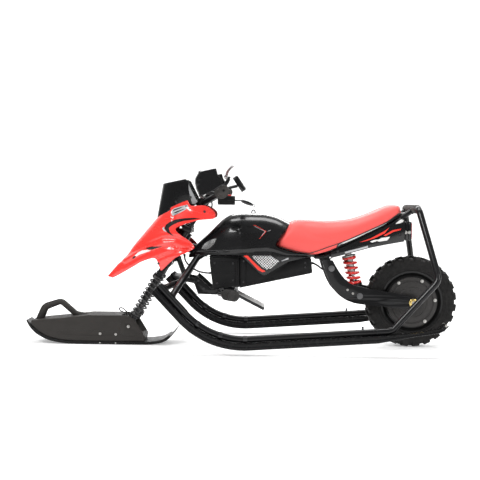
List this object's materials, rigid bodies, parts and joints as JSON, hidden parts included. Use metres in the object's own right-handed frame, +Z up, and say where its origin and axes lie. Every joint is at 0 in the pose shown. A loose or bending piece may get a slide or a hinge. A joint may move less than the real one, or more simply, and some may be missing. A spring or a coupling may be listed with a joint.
{
  "type": "electric snow scooter",
  "caption": "Electric snow scooter with a sprung front ski, hub-motor rear wheel, tubular frame with side runners, red cowl and seat",
  "frame": {"origin": "On the floor under the middle of the scooter's length", "axes": "+X runs to the tail, -X to the ski's tip, +Z is up, and the brake lever is on -Y"},
  "size_m": [1.7128, 0.644, 0.7051],
  "materials": {
    "frame_black": "powder coat, satin",
    "skid_black": "moulded, satin",
    "tank_black": "gloss with line decals",
    "cowl_red": "gloss with crescent decals",
    "seat_red": "vinyl, matte, piped seams",
    "grip_rubber": "ribbed",
    "tyre_rubber": "knobbly",
    "hub_black": "painted cast covers",
    "steel_bright": "zinc plated",
    "brass_axle": "plated",
    "smoked": "smoked, see-through",
    "spring_red": "gloss paint",
    "spring_black": "gloss paint",
    "lamp_red": "lens",
    "ski_black": "moulded, satin",
    "cable_black": "sheath",
    "cell_blue": "wrap",
    "button_red": "moulded"
  },
  "bodies": {
    "chassis": {"main_frame": "frame_black", "front_arch": "frame_black", "left_side_frame": "frame_black", "right_side_frame": "frame_black", "rear_hoop": "frame_black", "left_skid": "skid_black", "right_skid": "skid_black", "peg_frame": "frame_black", "left_foot_peg": "grip_rubber", "right_foot_peg": "grip_rubber", "tank_cover": "tank_black", "left_side_panel": "tank_black", "right_side_panel": "tank_black", "controller_case": "skid_black", "motor_controller": "steel_bright", "battery_case": "skid_black", "battery_pack": "cell_blue", "box_lid": "skid_black", "seat_pan": "skid_black", "seat_cushion": "seat_red", "left_tail_cover": "tank_black", "right_tail_cover": "tank_black", "tail_lamp": "lamp_red", "control_cable": "cable_black", "motor_cable": "cable_black"},
    "steering": {"steerer": "frame_black", "upper_yoke": "frame_black", "left_stanchion": "frame_black", "right_stanchion": "frame_black", "handlebar": "frame_black", "left_grip": "grip_rubber", "lever_perch": "skid_black", "left_hand_guard": "tank_black", "right_hand_guard": "tank_black", "display": "tank_black", "switch_box": "skid_black", "cowl": "cowl_red", "windshield": "smoked", "brake_cable": "cable_black"},
    "throttle": {"throttle_grip": "grip_rubber"},
    "lever": {"brake_lever": "steel_bright"},
    "button": {"stop_button": "button_red"},
    "fork": {"left_fork_slider": "steel_bright", "right_fork_slider": "steel_bright", "left_fork_spring": "spring_black", "right_fork_spring": "spring_black", "ski_axle": "steel_bright"},
    "ski": {"ski_body": "ski_black", "ski_base": "ski_black"},
    "arm": {"swing_arm": "frame_black", "arm_bolt": "steel_bright", "shock_bolt": "steel_bright", "axle": "brass_axle"},
    "wheel": {"tyre": "tyre_rubber", "hub_motor": "hub_black"},
    "shock_upper": {"shock_body": "steel_bright"},
    "shock_lower": {"shock_rod": "steel_bright", "shock_spring": "spring_red"},
    "brake": {"brake_plate": "steel_bright"}
  },
  "joints": [
    {"name": "steer", "type": "hinge", "parent": "chassis", "child": "steering", "pos_m": [-0.2822, 0, 0.346], "axis": [0.5075, 0, 0.8616], "range_deg": [-25, 25]},
    {"name": "fork_travel", "type": "slide", "parent": "steering", "child": "fork", "axis": [0.5075, 0, 0.8616], "range_m": [0, 0.03], "stiffness_N_per_m": 16000, "springref_m": -0.04, "deforming": ["left_fork_spring", "right_fork_spring"]},
    {"name": "ski_pitch", "type": "hinge", "parent": "fork", "child": "ski", "pos_m": [-0.4436, 0, 0.072], "axis": [0, 1, 0], "range_deg": [-12, 12]},
    {"name": "twist_throttle", "type": "hinge", "parent": "steering", "child": "throttle", "pos_m": [-0.07642, 0.195, 0.60493], "axis": [0.1139, 0.9923, 0.0488], "range_deg": [-60, 0], "stiffness_Nm_per_rad": 0.5, "springref_deg": 34.38},
    {"name": "brake_lever_pull", "type": "hinge", "parent": "steering", "child": "lever", "pos_m": [-0.0576, -0.186, 0.662], "axis": [-0.8616, 0, 0.5075], "range_deg": [-18, 0], "stiffness_Nm_per_rad": 2, "springref_deg": 34.38},
    {"name": "stop_button_press", "type": "slide", "parent": "steering", "child": "button", "axis": [0, 0, -1], "range_m": [0, 0.0035], "stiffness_N_per_m": 900, "springref_m": -0.004},
    {"name": "arm_travel", "type": "hinge", "parent": "chassis", "child": "arm", "pos_m": [0.3544, 0, 0.312], "axis": [0, -1, 0], "range_deg": [0, 7], "stiffness_Nm_per_rad": 3000, "springref_deg": -8.59},
    {"name": "wheel_spin", "type": "hinge", "parent": "arm", "child": "wheel", "pos_m": [0.6764, 0, 0.18], "axis": [0, 1, 0], "continuous": true},
    {"name": "shock_tilt", "type": "hinge", "parent": "chassis", "child": "shock_upper", "pos_m": [0.4204, 0, 0.392], "axis": [0, -1, 0], "range_deg": [0, 4.9]},
    {"name": "shock_stroke", "type": "slide", "parent": "shock_upper", "child": "shock_lower", "axis": [-0.2389, 0, 0.9711], "range_m": [0, 0.0106], "deforming": ["shock_spring"]},
    {"name": "foot_brake", "type": "hinge", "parent": "chassis", "child": "brake", "pos_m": [-0.0196, 0, 0.211], "axis": [0, 1, 0], "range_deg": [0, 20], "stiffness_Nm_per_rad": 6, "springref_deg": -40.11}
  ],
  "couplings": [
    {"joint": "shock_tilt", "follows": "arm_travel", "ratio": 0.6886},
    {"joint": "shock_stroke", "follows": "arm_travel", "m_per_rad": 0.0857}
  ]
}
